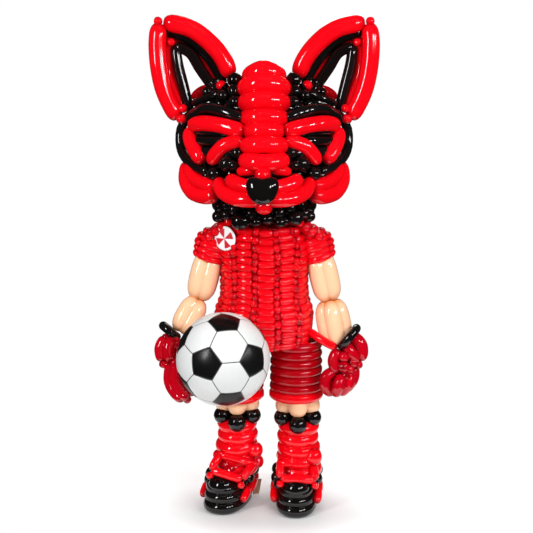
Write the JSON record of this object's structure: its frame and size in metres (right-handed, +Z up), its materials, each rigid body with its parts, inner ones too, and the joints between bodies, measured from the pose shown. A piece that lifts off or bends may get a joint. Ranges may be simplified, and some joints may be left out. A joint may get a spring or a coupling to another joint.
{
  "type": "balloon fox figure",
  "caption": "Life-size standing fox in football kit, twisted and woven from modelling balloons, holding a ball under its right hand.",
  "frame": {"origin": "on the floor, under the middle of the figure's outline seen from above", "axes": "+Z up, the fox looks along -Y, its left hand is at +X"},
  "size_m": [0.9174, 0.767, 2.0505],
  "materials": {
    "red_latex": "gloss",
    "dark_red_latex": "gloss",
    "black_latex": "gloss",
    "skin_latex": "gloss",
    "white_vinyl": "gloss",
    "badge_card": "satin",
    "board": "matt"
  },
  "bodies": {
    "root": {"collar": "black_latex", "ear_lining_left": "black_latex", "ear_lining_right": "black_latex", "ear_loop_left": "black_latex", "ear_loop_right": "black_latex", "face_line_left": "black_latex", "face_line_right": "black_latex", "head_core": "black_latex", "knee_balls_left": "black_latex", "knee_balls_right": "black_latex", "nose": "black_latex", "shoe_left": "black_latex", "shoe_right": "black_latex", "snout_side_left": "black_latex", "snout_side_right": "black_latex", "wrist_left": "black_latex", "wrist_right": "black_latex", "bridge": "red_latex", "cheek_left": "red_latex", "cheek_right": "red_latex", "ear_back_left": "red_latex", "ear_back_right": "red_latex", "ear_bow_left": "red_latex", "ear_bow_right": "red_latex", "ear_rim_left": "red_latex", "ear_rim_right": "red_latex", "eye_frame_left": "red_latex", "eye_frame_right": "red_latex", "hip_tie": "red_latex", "laces_left": "red_latex", "laces_right": "red_latex", "muzzle": "red_latex", "shirt": "red_latex", "shoe_stripe_left": "red_latex", "shoe_stripe_right": "red_latex", "sleeve_left": "red_latex", "sleeve_right": "red_latex", "snout_loop_1": "red_latex", "snout_loop_2": "red_latex", "snout_loop_3": "red_latex", "snout_loop_4": "red_latex", "snout_loop_5": "red_latex", "snout_loop_6": "red_latex", "snout_loop_7": "red_latex", "sock_left": "red_latex", "sock_right": "red_latex", "glove_left": "dark_red_latex", "glove_right": "dark_red_latex", "shorts_left": "dark_red_latex", "shorts_right": "dark_red_latex", "ball": "white_vinyl", "badge": "badge_card", "heel_board": "board", "forearm_left": "skin_latex", "forearm_right": "skin_latex", "knee_left": "skin_latex", "knee_right": "skin_latex", "upper_arm_left": "skin_latex", "upper_arm_right": "skin_latex"}
  },
  "joints": []
}
